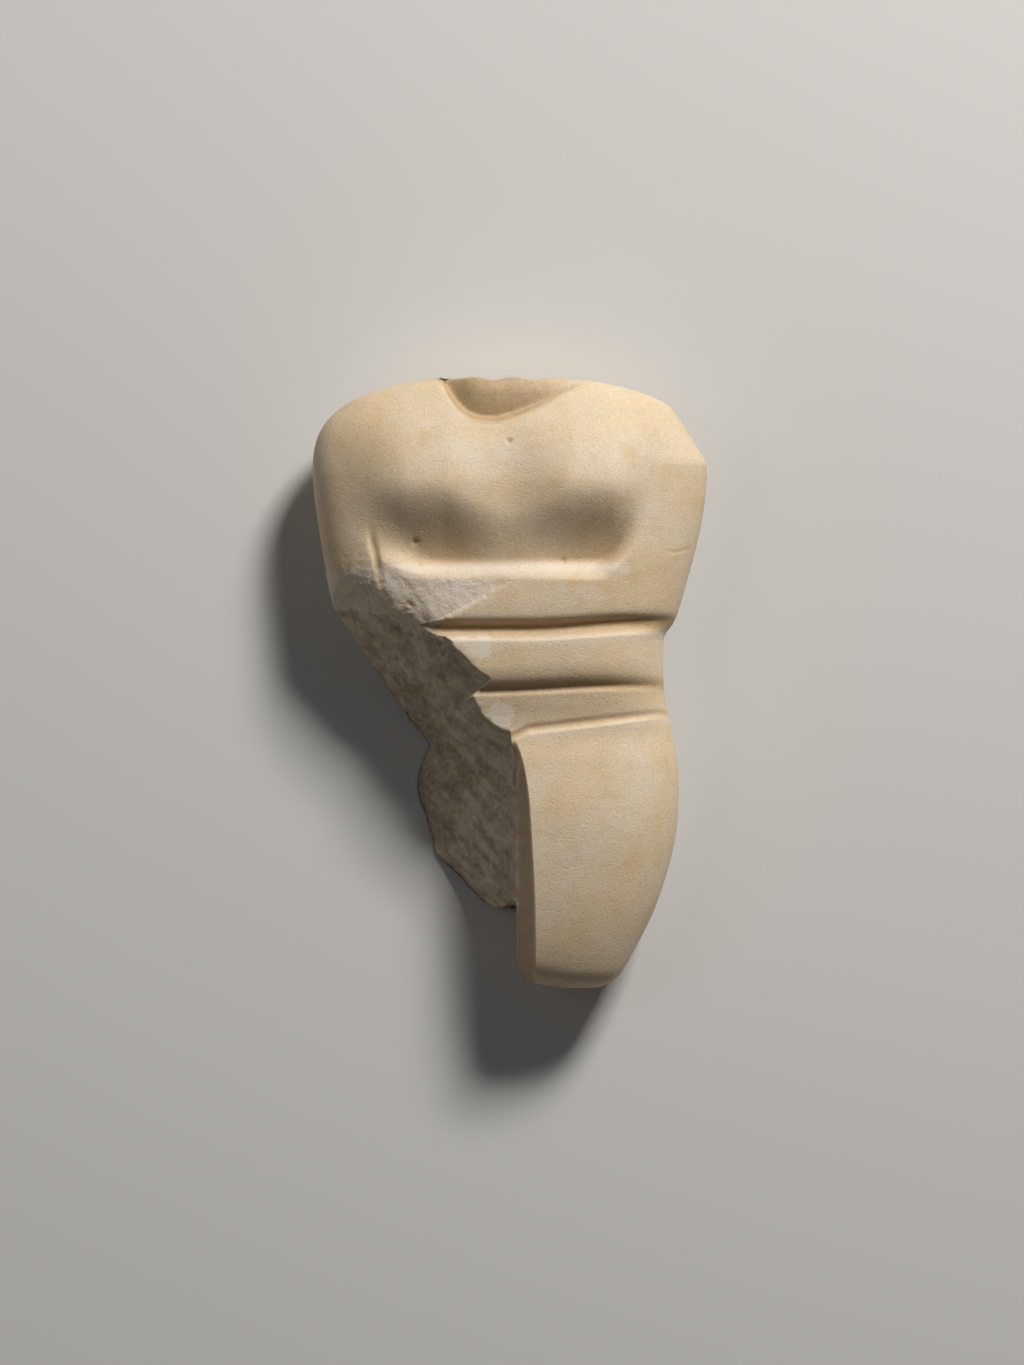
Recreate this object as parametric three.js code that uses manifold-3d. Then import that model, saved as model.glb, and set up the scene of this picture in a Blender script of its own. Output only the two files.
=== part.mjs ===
// A broken marble figurine of a standing woman with folded arms, in the manner of the Cycladic islands.
// One piece of stone, from the break at the neck to the worn end of the left leg. The right elbow and
// the right leg are lost. It lies on its back, which has two ground spots that rest on the table.
//
// Millimetres. +X is the figure's own left, +Y runs up the body to the neck, +Z out of the chest.
// The origin is under the middle of the figure, on the plane that it lies on.

import * as THREE from "three";
import { LoftGeometry } from "three/addons/geometries/LoftGeometry.js";
import { mergeVertices } from "three/addons/utils/BufferGeometryUtils.js";
import Module from "manifold-3d";

const { clamp, lerp, smoothstep } = THREE.MathUtils;

// ---- Driving dimensions -----------------------------------------------------------------------

const NECK_END = 70; // y of the break at the neck
const LEG_END = -70; // y of the worn end of the leg
const SHOULDER = { halfWidth: 45.5, level: 48, top: 70.6, squareness: { right: 2.75, left: 2.5 } };
const FLANK_HEIGHT = 14; // height of the widest line round the body
const FRONT_ROUND = { x: 3.1, z: 2.3 }; // exponents of the front's section, from flank to flank
const BACK_ROUND = { x: 3.6, z: 2.0 };

const FOREARM = { top: 23.4, groove: 13.2, bottom: -1.5 }; // y of the edges of the two folded forearms
const THIGH_TOP = { middle: -12.2, flank: -6.6 }; // y of the line across the top of the thighs
const CROTCH = -12;

const SMALLEST_DETAIL = 0.02; // corners and edges smaller than this are merged in the solid

// ---- Curves -----------------------------------------------------------------------------------

// A smooth curve through [position, value] pairs in rising order, held level beyond its ends.
function through(...pairs) {
  const slope = (i) => {
    const a = pairs[Math.max(i - 1, 0)];
    const b = pairs[Math.min(i + 1, pairs.length - 1)];
    return (b[1] - a[1]) / (b[0] - a[0]);
  };
  return (at) => {
    if (at <= pairs[0][0]) return pairs[0][1];
    const next = pairs.findIndex(([position]) => position >= at);
    if (next < 0) return pairs[pairs.length - 1][1];
    const [x0, v0] = pairs[next - 1];
    const [x1, v1] = pairs[next];
    const span = x1 - x0;
    const s = (at - x0) / span;
    const out = slope(next - 1) * span;
    const into = slope(next) * span;
    return (
      v0 * (1 + 2 * s) * (1 - s) ** 2 +
      out * s * (1 - s) ** 2 +
      v1 * s * s * (3 - 2 * s) -
      into * s * s * (1 - s)
    );
  };
}

// The lesser of two values, with the corner between them rounded over `round`.
function softMin(a, b, round) {
  const h = clamp(0.5 + (b - a) / (2 * round), 0, 1);
  return lerp(b, a, h) - round * h * (1 - h);
}

// A bump of height 1 that is 0 beyond 1 either side.
const bump = (s) => (Math.abs(s) < 1 ? (1 - s * s) ** 2 : 0);

// ---- Outline seen from the front --------------------------------------------------------------

const sideBelowShoulder = through(
  [LEG_END, 20.5], [-68.6, 23.6], [-66, 26], [-60, 29.4], [-52, 33.3], [-43, 36.3], [-34, 38.3],
  [-24, 38.9], [-18, 38.6], [-10, 37.2], [-4, 35.9], [1, 35.4], [9.5, 35.4], [11.4, 35.9],
  [13.4, 37.4], [16.5, 38.8], [24, 41], [32, 43.1], [40, 44.7], [SHOULDER.level, SHOULDER.halfWidth],
);

function halfWidth(y, squareness) {
  if (y <= SHOULDER.level) return sideBelowShoulder(y);
  const rise = (y - SHOULDER.level) / (SHOULDER.top - SHOULDER.level);
  return SHOULDER.halfWidth * (1 - rise ** squareness) ** (1 / squareness);
}

// An old chip has taken the corner off the left shoulder, along a straight line.
const SHOULDER_CHIP = { from: [37.3, 62.9], to: [45.4, 50.2] };

function chipEdge(y) {
  const [[x0, y0], [x1, y1]] = [SHOULDER_CHIP.from, SHOULDER_CHIP.to];
  return y < y1 ? SHOULDER.halfWidth : x0 + ((y0 - y) / (y0 - y1)) * (x1 - x0);
}

const RIGHT_ARM_FULLER = 1.5; // just above the elbow, the right arm is this much fuller than the left

const leftFlank = (y) => softMin(halfWidth(y, SHOULDER.squareness.left), chipEdge(y) + 0.3, 0.8);
const rightFlank = (y) => -halfWidth(y, SHOULDER.squareness.right) - RIGHT_ARM_FULLER * bump((y - 15) / 25);

// x of the front edge of the left leg along the cleft between the legs, and x of the web of stone that
// joined the legs at the bottom of the cleft. The cleft's wall leans from one to the other.
const cleftEdge = through(
  [-68, 5.8], [-54, 5.7], [-45, 5.4], [-33, 4.7], [-26, 4.2], [-21, 3.5], [-16.5, 2.5], [CROTCH, 0.9],
);
const webEdge = through(
  [-70, 3.5], [-68.3, 3], [-66, 2.1], [-62, 1.5], [-34, 1.4], [-24, 1.2], [-18, 0.9], [CROTCH, 0.2],
);
const CLEFT_SHARE = { front: 0.45, back: 0.3 }; // of the stone in front of and behind the flanks' line
const BACK_CLEFT_LEAN = 2.2;

// The line that the sections are centred on: the middle of the torso, then the cleft.
const axis = (y) => webEdge(y) * smoothstep(-y, -CROTCH - 12, -CROTCH + 6);

// ---- Front ------------------------------------------------------------------------------------

// Height of the front along the middle of the body, before anything is carved into it.
const frontLine = through(
  [LEG_END, 18.2], [-68, 22.3], [-64, 25.2], [-56, 28], [-44, 30.2], [-30, 31], [-18, 29.8], [-12, 28.8],
  [-8, 29], [-4, 29.9], [0, 30.7], [6, 31.1], [13, 31.2], [24, 31.3], [34, 31], [48, 30.2], [58, 28.8],
  [66, 25.8], [NECK_END, 23.4],
);

// |x| of the inner edge of each upper arm.
const leftArmEdge = through([26, 24], [30, 28], [34, 30.5], [40, 32.5], [47, 34], [56, 35.5]);
const rightArmEdge = through([26, 28], [30, 33], [34, 36], [39, 38], [45, 39], [53, 39.5]);
const armEdge = (x, y) => (x > 0 ? leftArmEdge(y) : rightArmEdge(y));

// The breasts swell over the chest, from the foot up to the top and fading out above it. Between them
// they are lower, by a share of their height, and start lower down.
const BREAST = { height: 4, foot: 29, top: 45, fade: 68, inside: 15, outside: 23, between: 0.3, drop: 6 };

function breasts(x, y) {
  const out = Math.abs(x);
  const top = BREAST.top - BREAST.drop * clamp(1 - out / BREAST.inside, 0, 1);
  const up = smoothstep(y, BREAST.foot, top) * smoothstep(-y, -BREAST.fade, -BREAST.top);
  const across = lerp(BREAST.between, 1, smoothstep(out, 0, BREAST.inside));
  return BREAST.height * up * across * smoothstep(-out, -armEdge(x, y), -BREAST.outside);
}

// The chest is cut back between the upper arms and above the forearms, most of all under the breasts.
const CHEST = { middle: 2, sides: 4.4, fadeFrom: 46.5, fadeTo: 28.6, ledge: 4.8 };
const ARM_WALL = { right: 14, left: 6 };

function chestCut(x, y) {
  const sides = smoothstep(armEdge(x, y) - Math.abs(x), 0, x > 0 ? ARM_WALL.left : ARM_WALL.right);
  const down = clamp((CHEST.fadeFrom - y) / (CHEST.fadeFrom - CHEST.fadeTo), 0, 1) ** 1.5;
  const ledge = smoothstep(y - FOREARM.top, 0, CHEST.ledge);
  return lerp(CHEST.middle, CHEST.sides, smoothstep(Math.abs(x), 2, 16)) * sides * down * ledge;
}

// The hand of the upper forearm ends against the right arm at a short groove.
const handLine = through([18, -28.8], [26, -30], [34, -31.6], [44, -32.6]);

function handGroove(x, y) {
  return 0.8 * bump((x - handLine(y)) / 1.3) * smoothstep(37 - y, 0, 7) * smoothstep(y, 17, 21);
}

// 0 at `above` over an edge line and 1 on it, falling off like the lower side of a rounded arm.
const roundedTo = (y, edge, above, convex) => clamp((edge + above - y) / above, 0, 1) ** convex;

// Two forearms lie one above the other. Each rounds off below into a cut.
const upperGroove = (x) => FOREARM.groove + 1.3 * smoothstep(x, 4, 30);
const lowerGroove = (x) => FOREARM.bottom + 1.1 * smoothstep(x, -8, 26);
const UPPER_CUT = { roll: 0.5, edge: 2.1 };
const LOWER_CUT = 0.6;

function forearmCuts(x, y) {
  const [upper, lower] = [upperGroove(x), lowerGroove(x)];
  const underUpper =
    y > upper
      ? UPPER_CUT.roll * roundedTo(y, upper, 6.5, 2) + UPPER_CUT.edge * roundedTo(y, upper, 3, 3)
      : (UPPER_CUT.roll + UPPER_CUT.edge) * smoothstep(y, upper - 3.6, upper - 0.9);
  const underLower = y > lower ? roundedTo(y, lower, 3, 2) : smoothstep(y, lower - 1.6, lower - 0.2);
  return underUpper + LOWER_CUT * underLower;
}

// The belly is cut back from the lower forearm, and from the thighs, whose top edge dips to the crotch.
const BELLY = { cut: 1.9, seam: 0.35, thighs: 1.1, edge: 2.25 };

function thighTop(x) {
  const out = Math.abs(x - axis(CROTCH));
  return lerp(THIGH_TOP.middle + 2 * Math.min(out / 4, 1), THIGH_TOP.flank, clamp((out - 4) / 30, 0, 1));
}

function belly(x, y) {
  const edge = thighTop(x);
  if (y <= edge) return lerp(BELLY.thighs, BELLY.edge, smoothstep(y, edge - 1.6, edge));
  return BELLY.cut * roundedTo(y, lowerGroove(x), 6.5, 2.4) + BELLY.seam * bump((y - edge) / 1.2);
}

// A curved groove goes round the foot of the neck, out of which the neck swells again.
const NECKLINE = { x: -3, y: 60.2, right: 12.4, left: 20.9, rise: 9 };
const NECK = { groove: 3, leftGroove: 0.9, swell: 0.95, round: 0.036 };

function neckline(x) {
  const out = x - NECKLINE.x;
  return out < 0
    ? NECKLINE.y + NECKLINE.rise * (-out / NECKLINE.right) ** 3.2
    : NECKLINE.y + NECKLINE.rise * (out / NECKLINE.left) ** 1.25;
}

// How far a point lies up the neck from the neckline, about square to that line.
function pastNeckline(x, y) {
  const run = 0.1;
  const steepness = (neckline(x + run) - neckline(x - run)) / (2 * run);
  return (y - neckline(x)) / Math.hypot(1, steepness);
}

function neckCut(x, y) {
  const past = pastNeckline(x, y);
  const groove = lerp(NECK.groove, NECK.leftGroove, smoothstep(x, 0, NECKLINE.left - 4));
  const up = Math.max(past, 0);
  const swell = ((NECK.swell - NECK.round * up) * up * groove) / NECK.groove;
  return groove * smoothstep(past, -0.6, 0.7) - swell;
}

// Legs are parted in front and behind by a cleft whose walls lean together.
function cleft(x, y, lean) {
  const open = smoothstep(CROTCH - y, -0.5, 11);
  return open * (1 - clamp(Math.abs(x - webEdge(y)) / lean, 0, 1) ** 1.2);
}

// Height of the front at a share of the way across, with `carved` added to the body's roundness.
function bareFront(y, across, carved = 0) {
  const roll = (1 - Math.abs(across) ** FRONT_ROUND.x) ** (1 / FRONT_ROUND.z);
  return FLANK_HEIGHT + (frontLine(y) - FLANK_HEIGHT + carved) * roll;
}

function frontHeight(x, y, across) {
  const cutAway = chestCut(x, y) + handGroove(x, y) + forearmCuts(x, y) + belly(x, y) + neckCut(x, y);
  const carved = breasts(x, y) - cutAway;
  const parted = 1 - CLEFT_SHARE.front * cleft(x, y, cleftEdge(y) - webEdge(y));
  return FLANK_HEIGHT + (bareFront(y, across, carved) - FLANK_HEIGHT) * parted;
}

// ---- Back -------------------------------------------------------------------------------------

// Height of the back along its middle. It dips below the resting plane at the shoulder blades and
// the buttocks, and is ground flat there.
const backLine = through(
  [LEG_END, 9], [-66, 6.6], [-56, 3.4], [-44, 0.8], [-34, -0.5], [-22, -0.7], [-12, 0], [0, 1.6],
  [10, 2.1], [22, 1], [34, -0.5], [48, -0.6], [58, 0.6], [65, 3], [NECK_END, 5.4],
);

function backCuts(x, y) {
  const spine = 0.9 * bump(x / 1.8) * smoothstep(56 - y, 0, 6) * smoothstep(y, -8, 4);
  const arms = 0.9 * bump((Math.abs(x) - 29.5) / 1.6) * smoothstep(50 - y, 0, 6) * smoothstep(y, 14, 20);
  const hips = 0.8 * bump((y + 7) / 1.6);
  return spine + arms + hips;
}

function backHeight(x, y, across) {
  const roll = (1 - Math.abs(across) ** BACK_ROUND.x) ** (1 / BACK_ROUND.z);
  const parted = 1 - CLEFT_SHARE.back * cleft(x, y, BACK_CLEFT_LEAN);
  const height = FLANK_HEIGHT - (FLANK_HEIGHT - backLine(y)) * roll * parted;
  return Math.max(height, 0) + backCuts(x, y) * roll;
}

// ---- Ends -------------------------------------------------------------------------------------

// The stump of the neck broke off in shallow waves. The leg's end is worn, most of all on the inside.
const NECK_WAVE = { depth: 0.8, length: 9.5, halfWidth: 18, reach: 4 };
const LEG_WEAR = { outside: 14.4, depth: 1.7, width: 11.4, reach: 7 };

function worn(x, y) {
  const swell = 1 - Math.cos((2 * Math.PI * (x - 1)) / NECK_WAVE.length);
  const wave = (NECK_WAVE.depth / 2) * swell * bump(x / NECK_WAVE.halfWidth);
  const wear = LEG_WEAR.depth * Math.max(0, (LEG_WEAR.outside - x) / LEG_WEAR.width) ** 1.5;
  return (
    y - wave * smoothstep(y, NECK_END - NECK_WAVE.reach, NECK_END) +
    wear * smoothstep(LEG_END + LEG_WEAR.reach - y, 0, LEG_WEAR.reach)
  );
}

// ---- The whole figure as one loft -------------------------------------------------------------

// Points round one section.
const POINTS = { rightFront: 20, cleftWall: 3, leftFront: 22, backSide: 8, backCleft: 2 };
// Sections lie close together where something is carved across the body: [from, to, steps].
const SPANS = [
  [LEG_END, -60, 7], [-60, -20, 11], [-20, -14, 3], [-14, -5, 9], [-5, 1.5, 7], [1.5, 9, 2], [9, 17, 9],
  [17, 24, 2], [24, 31, 6], [31, 57, 9], [57, 66, 9], [66, NECK_END, 5],
];

// Lines of points follow the edges of both clefts, and part from the middle again above the crotch.
const SEAM_SPREAD = 4;
const seam = (y) => (y < CROTCH ? cleftEdge(y) : cleftEdge(CROTCH)) + SEAM_SPREAD * smoothstep(y, CROTCH, 0);
const backSeam = (y) => BACK_CLEFT_LEAN + SEAM_SPREAD * smoothstep(y, CROTCH, 0);

// Share of the way out to a flank, crowded towards the flank.
const outward = (share) => lerp(Math.sin((Math.PI / 2) * share), share, 0.12);

function section(y) {
  const [right, middle, edge, left] = [rightFlank(y), axis(y), seam(y), leftFlank(y)];
  const at = (x, height) => {
    const across = (x - middle) / (x < middle ? middle - right : left - middle);
    return new THREE.Vector3(x, worn(x, y), height(x, y, clamp(across, -1, 1)));
  };
  const row = (from, to, count, share, height) =>
    Array.from({ length: count }, (_, i) => at(lerp(from, to, share(i / count)), height));
  const inward = (share) => 1 - outward(1 - share);
  const evenly = (share) => share;
  const beside = backSeam(y);
  return [
    ...row(right, middle, POINTS.rightFront, inward, frontHeight),
    ...row(middle, edge, POINTS.cleftWall, evenly, frontHeight),
    ...row(edge, left, POINTS.leftFront, outward, frontHeight),
    ...row(left, middle + beside, POINTS.backSide, inward, backHeight),
    ...row(middle + beside, middle, POINTS.backCleft, evenly, backHeight),
    ...row(middle, middle - beside, POINTS.backCleft, evenly, backHeight),
    ...row(middle - beside, right, POINTS.backSide, outward, backHeight),
  ];
}

function wholeFigure() {
  const sections = [section(LEG_END)];
  for (const [from, to, steps] of SPANS) {
    for (let i = 1; i <= steps; i++) sections.push(section(lerp(from, to, i / steps)));
  }
  return new LoftGeometry(sections, { capStart: true, capEnd: true });
}

// ---- The break --------------------------------------------------------------------------------

// A plane that rises from an edge line, met by walking `inward` from a point of the edge.
const rising = ([x0, y0], inward, height, slope) => {
  const length = Math.hypot(...inward);
  return (x, y) => height + (slope * ((x - x0) * inward[0] + (y - y0) * inward[1])) / length;
};

// The waist broke on a slant, from the elbow to the crotch. The broken face starts halfway up the side
// and runs down onto the back. It bites further in under the end of the lower forearm.
const WAIST_BREAK = { corner: [-39.4, 15.6], along: [0.562, -0.827], width: 17.2, top: 30.5 };
const WAIST_BULGE = { elbow: 1.9, crotch: 1.3 };
const WAIST_LOW = { height: 12.4, fall: 0.34, length: 36, rise: 0.9 };
const WAIST_TOP_FALL = { from: 37, to: 49, depth: 6 };
const FOREARM_BITE = { from: 22, full: 31.6, to: 32.6, depth: 4.4 };

function waistBreak(x, y) {
  const [cx, cy] = WAIST_BREAK.corner;
  const [ax, ay] = WAIST_BREAK.along;
  const down = (x - cx) * ax + (y - cy) * ay;
  const inward = ((x - cx) * -ay + (y - cy) * ax) / WAIST_BREAK.width;
  const fallen = down > 0 ? WAIST_LOW.fall * Math.min(down, WAIST_LOW.length) : WAIST_LOW.rise * down;
  const bulge = lerp(WAIST_BULGE.elbow, WAIST_BULGE.crotch, smoothstep(down, 2, 16));
  const climb = inward < 1 ? 1 - (1 - inward) ** bulge : inward;
  const { from, full, to, depth } = FOREARM_BITE;
  const bitten = clamp((down - from) / (full - from), 0, 1) * smoothstep(-down, -to, -full);
  const bite = depth * bitten * Math.max(inward, 0);
  const topFallen = WAIST_TOP_FALL.depth * smoothstep(down, WAIST_TOP_FALL.from, WAIST_TOP_FALL.to);
  return lerp(WAIST_LOW.height - fallen, WAIST_BREAK.top - topFallen, climb) - bite;
}

// A thin flake has come off the front of the upper forearm and the elbow. It starts at the forearm's
// top edge, is deeper down and to the right, and stops along a slanted line on the left.
const FLAKE = { top: 25.6, deepening: 0.005, edgeStep: 0.8 };
const FLAKE_EDGE = { from: [-16.1, 14.6], normal: [0.469, -0.883] };

function flake(x, y) {
  const across = clamp(x / rightFlank(y), 0, 1);
  const [nx, ny] = FLAKE_EDGE.normal;
  const beyondEdge = Math.max(0, (x - FLAKE_EDGE.from[0]) * nx + (y - FLAKE_EDGE.from[1]) * ny);
  const depth = FLAKE.deepening * (FLAKE.top - y) * -x;
  return bareFront(y, across) - depth + FLAKE.edgeStep * beyondEdge;
}

// What is left of the right thigh is a wedge at the back, with four slanting faces.
const thighTopFace = rising([-19.1, -14.1], [0.95, -0.32], 0.4, 1.3);
const thighSideFace = rising([-21.9, -23.5], [0.96, 0.28], 0.7, 1.0);
const thighLowFace = rising([-18, -38.6], [0.733, 0.68], 1.4, 2.3);
const thighEndFace = rising([-3, -52.8], [0, 1], 2.2, 5);

function thighBreak(x, y) {
  const above = softMin(thighTopFace(x, y), thighSideFace(x, y), 2);
  return softMin(above, softMin(thighLowFace(x, y), thighEndFace(x, y), 0.6), 1.2);
}

const BREAK_ABOVE = 60; // clear of the figure's front
const BREAK_REACH = { right: -56, y: [-76, 34] };
const BREAK_STEP = 2;

const breakHeight = (x, y) => Math.max(softMin(waistBreak(x, y), flake(x, y), 1), thighBreak(x, y));

// The stone above the break, as a block whose underside is the broken surface. It ends at the web
// between the legs, which snapped off straight, and in line with it above the crotch.
function lostStone() {
  const [y0, y1] = BREAK_REACH.y;
  const columns = Math.round(-BREAK_REACH.right / BREAK_STEP);
  const rows = Math.round((y1 - y0) / BREAK_STEP);
  const sections = [];
  for (let j = 0; j <= rows; j++) {
    const y = lerp(y0, y1, j / rows);
    const end = webEdge(y);
    const ring = [];
    for (let i = 0; i <= columns; i++) {
      const x = lerp(BREAK_REACH.right, end, i / columns);
      ring.push(new THREE.Vector3(x, y, clamp(breakHeight(x, y), -10, BREAK_ABOVE - 1)));
    }
    ring.push(new THREE.Vector3(end, y, BREAK_ABOVE), new THREE.Vector3(BREAK_REACH.right, y, BREAK_ABOVE));
    sections.push(ring.reverse());
  }
  return new LoftGeometry(sections, { capStart: true, capEnd: true });
}

// ---- Solids -----------------------------------------------------------------------------------

const wasm = await Module();
wasm.setup();

function solidFrom(geometry) {
  const bare = new THREE.BufferGeometry();
  bare.setAttribute("position", geometry.getAttribute("position"));
  bare.setIndex(geometry.index);
  const merged = mergeVertices(bare, 1e-4);
  return new wasm.Manifold(
    new wasm.Mesh({
      numProp: 3,
      vertProperties: merged.attributes.position.array,
      triVerts: new Uint32Array(merged.index.array),
    }),
  );
}

function geometryFrom(solid) {
  const { numProp, numVert, vertProperties, triVerts } = solid.getMesh();
  const positions = new Float32Array(numVert * 3);
  for (let i = 0; i < numVert; i++) {
    positions.set(vertProperties.subarray(i * numProp, i * numProp + 3), i * 3);
  }
  const geometry = new THREE.BufferGeometry();
  geometry.setAttribute("position", new THREE.BufferAttribute(positions, 3));
  geometry.setIndex(new THREE.BufferAttribute(triVerts, 1));
  geometry.computeVertexNormals();
  return geometry;
}

const marble = new THREE.MeshStandardMaterial({ color: 0xcbb48a, roughness: 0.62, metalness: 0 });

const figurine = new THREE.Mesh(
  geometryFrom(solidFrom(wholeFigure()).subtract(solidFrom(lostStone())).simplify(SMALLEST_DETAIL)),
  marble,
);
figurine.name = "figurine";

const part = new THREE.Group();
part.add(figurine);

export default part;
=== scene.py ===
import math

import bpy
import numpy as np
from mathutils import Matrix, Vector


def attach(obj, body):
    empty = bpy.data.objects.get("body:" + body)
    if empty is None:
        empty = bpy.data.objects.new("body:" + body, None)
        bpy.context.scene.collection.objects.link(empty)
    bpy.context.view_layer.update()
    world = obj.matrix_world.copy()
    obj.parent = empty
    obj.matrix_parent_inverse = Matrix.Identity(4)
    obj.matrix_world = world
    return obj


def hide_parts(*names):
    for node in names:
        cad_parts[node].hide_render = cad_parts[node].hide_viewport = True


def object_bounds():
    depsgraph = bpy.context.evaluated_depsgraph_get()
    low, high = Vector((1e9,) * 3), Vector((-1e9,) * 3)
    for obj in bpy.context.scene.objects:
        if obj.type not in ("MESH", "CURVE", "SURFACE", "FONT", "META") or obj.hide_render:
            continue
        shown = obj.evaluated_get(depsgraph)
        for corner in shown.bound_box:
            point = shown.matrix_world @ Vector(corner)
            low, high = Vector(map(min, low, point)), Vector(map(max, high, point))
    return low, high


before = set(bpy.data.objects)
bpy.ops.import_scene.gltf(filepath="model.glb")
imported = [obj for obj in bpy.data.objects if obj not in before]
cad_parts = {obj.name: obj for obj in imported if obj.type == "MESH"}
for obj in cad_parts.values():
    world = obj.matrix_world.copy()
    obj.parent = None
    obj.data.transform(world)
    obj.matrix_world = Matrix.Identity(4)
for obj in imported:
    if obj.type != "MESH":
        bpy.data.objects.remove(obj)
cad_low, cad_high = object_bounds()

# The broken marble figurine as one finely carved mesh, with its stone, on a pale floor in studio light.
# Lengths are in millimetres, turned into metres when the mesh is made. +X is the figure's own left,
# +Y runs up the body, +Z out of the chest. The curves of the form are those of the CAD solid.

MM = 0.001

# ---- Curves -------------------------------------------------------------------------------------


def step(value, low, high):
    """0 up to low, 1 from high, and smooth between them."""
    share = np.clip((value - low) / (high - low), 0, 1)
    return share * share * (3 - 2 * share)


def lerp(a, b, share):
    return a + (b - a) * share


def soft_min(a, b, rounding):
    """The lesser of two values, with the corner between them rounded."""
    share = np.clip(0.5 + (b - a) / (2 * rounding), 0, 1)
    return lerp(b, a, share) - rounding * share * (1 - share)


def bump(s):
    """A bump of height 1 that is 0 beyond 1 either side."""
    return np.clip(1 - s * s, 0, None) ** 2


def through(*pairs):
    """A smooth curve through (position, value) pairs in rising order, held level beyond its ends."""
    spots, values = np.array(pairs, float).T
    before = np.r_[0, np.arange(len(spots) - 1)]
    after = np.r_[np.arange(1, len(spots)), len(spots) - 1]
    slopes = (values[after] - values[before]) / (spots[after] - spots[before])

    def curve(at):
        at = np.clip(at, spots[0], spots[-1])
        end = np.clip(np.searchsorted(spots, at), 1, len(spots) - 1)
        start = end - 1
        span = spots[end] - spots[start]
        s = (at - spots[start]) / span
        return (
            values[start] * (1 + 2 * s) * (1 - s) ** 2
            + slopes[start] * span * s * (1 - s) ** 2
            + values[end] * s * s * (3 - 2 * s)
            - slopes[end] * span * s * s * (1 - s)
        )

    return curve


# ---- Noise --------------------------------------------------------------------------------------


def hashed(i, j, k, seed):
    """An even spread of numbers from 0 to 1, one for each lattice point."""
    n = (i * 73856093) ^ (j * 19349663) ^ (k * 83492791) ^ (seed * 2654435761)
    n = n & 0xFFFFFFFF
    for _ in range(2):
        n = (((n >> 16) ^ n) * 0x45D9F3B) & 0xFFFFFFFF
    return ((n >> 16) ^ n) / 0xFFFFFFFF


def noise(points, size, seed):
    """Smooth noise from -1 to 1 whose lumps are about `size` across. `size` may differ along x, y and z."""
    scaled = points / np.asarray(size, float)
    low = np.floor(scaled).astype(np.int64)
    part = scaled - low
    ease = part**3 * (part * (6 * part - 15) + 10)
    total = 0.0
    for di in (0, 1):
        for dj in (0, 1):
            for dk in (0, 1):
                weight = (
                    (ease[..., 0] if di else 1 - ease[..., 0])
                    * (ease[..., 1] if dj else 1 - ease[..., 1])
                    * (ease[..., 2] if dk else 1 - ease[..., 2])
                )
                total = total + weight * hashed(low[..., 0] + di, low[..., 1] + dj, low[..., 2] + dk, seed)
    return 2 * total - 1


def layered(points, size, seed, layers=3, keep=0.5):
    """Noise with finer and weaker noise laid over it."""
    size = np.asarray(size, float)
    total, most = 0.0, 0.0
    for layer in range(layers):
        strength = keep**layer
        total = total + strength * noise(points, size / 2**layer, seed + layer)
        most += strength
    return total / most


def cells(points, size, seed):
    """Distance to the nearest of some scattered points, as a share of their spacing, and its own number."""
    scaled = points / np.asarray(size, float)
    low = np.floor(scaled).astype(np.int64)
    nearest = np.full(points.shape[:-1], 9.0)
    own = np.zeros(points.shape[:-1])
    for di in (-1, 0, 1):
        for dj in (-1, 0, 1):
            for dk in (-1, 0, 1):
                i, j, k = low[..., 0] + di, low[..., 1] + dj, low[..., 2] + dk
                gap = (
                    (i + hashed(i, j, k, seed) - scaled[..., 0]) ** 2
                    + (j + hashed(i, j, k, seed + 1) - scaled[..., 1]) ** 2
                    + (k + hashed(i, j, k, seed + 2) - scaled[..., 2]) ** 2
                )
                closer = gap < nearest
                nearest = np.where(closer, gap, nearest)
                own = np.where(closer, hashed(i, j, k, seed + 3), own)
    return np.sqrt(nearest), own


def flat_points(x, y):
    """Points in the plane of the floor, for noise that runs straight down through the stone."""
    return np.stack([x, y, np.zeros_like(x)], axis=-1)


# ---- Outline seen from the front ----------------------------------------------------------------

NECK_END = 70.0
LEG_END = -70.0
FLANK_HEIGHT = 14.0
FRONT_ROUND = {"x": 3.1, "z": 2.3}
BACK_ROUND = {"x": 3.6, "z": 2.0}
SHOULDER = {"half_width": 45.5, "level": 48.0, "top": 70.6, "right": 2.75, "left": 2.5}
FOREARM = {"top": 23.4, "groove": 13.2, "bottom": -1.5}
THIGH_TOP = {"middle": -12.2, "flank": -6.6}
CROTCH = -12.0

side_below_shoulder = through(
    (LEG_END, 20.5), (-68.6, 23.6), (-66, 26), (-60, 29.4), (-52, 33.3), (-43, 36.3), (-34, 38.3),
    (-24, 38.9), (-18, 38.6), (-10, 37.2), (-4, 35.9), (1, 35.4), (9.5, 35.4), (11.4, 35.9),
    (13.4, 37.4), (16.5, 38.8), (24, 41), (32, 43.1), (40, 44.7),
    (SHOULDER["level"], SHOULDER["half_width"]),
)  # fmt: skip


def half_width(y, squareness):
    rise = np.clip((y - SHOULDER["level"]) / (SHOULDER["top"] - SHOULDER["level"]), 0, 1)
    shoulder = SHOULDER["half_width"] * (1 - rise**squareness) ** (1 / squareness)
    return np.where(y <= SHOULDER["level"], side_below_shoulder(y), shoulder)


# An old chip has taken the corner off the left shoulder, along a straight line.
SHOULDER_CHIP = {"from": (37.3, 62.9), "to": (45.4, 50.2), "out": 0.3, "round": 0.8}
# The right arm is fuller than the left, just above the elbow.
RIGHT_ARM = {"fuller": 1.5, "y": 15, "half_length": 25}


def chip_edge(y):
    (x0, y0), (x1, y1) = SHOULDER_CHIP["from"], SHOULDER_CHIP["to"]
    return np.where(y < y1, SHOULDER["half_width"], x0 + (y0 - y) / (y0 - y1) * (x1 - x0))


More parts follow.
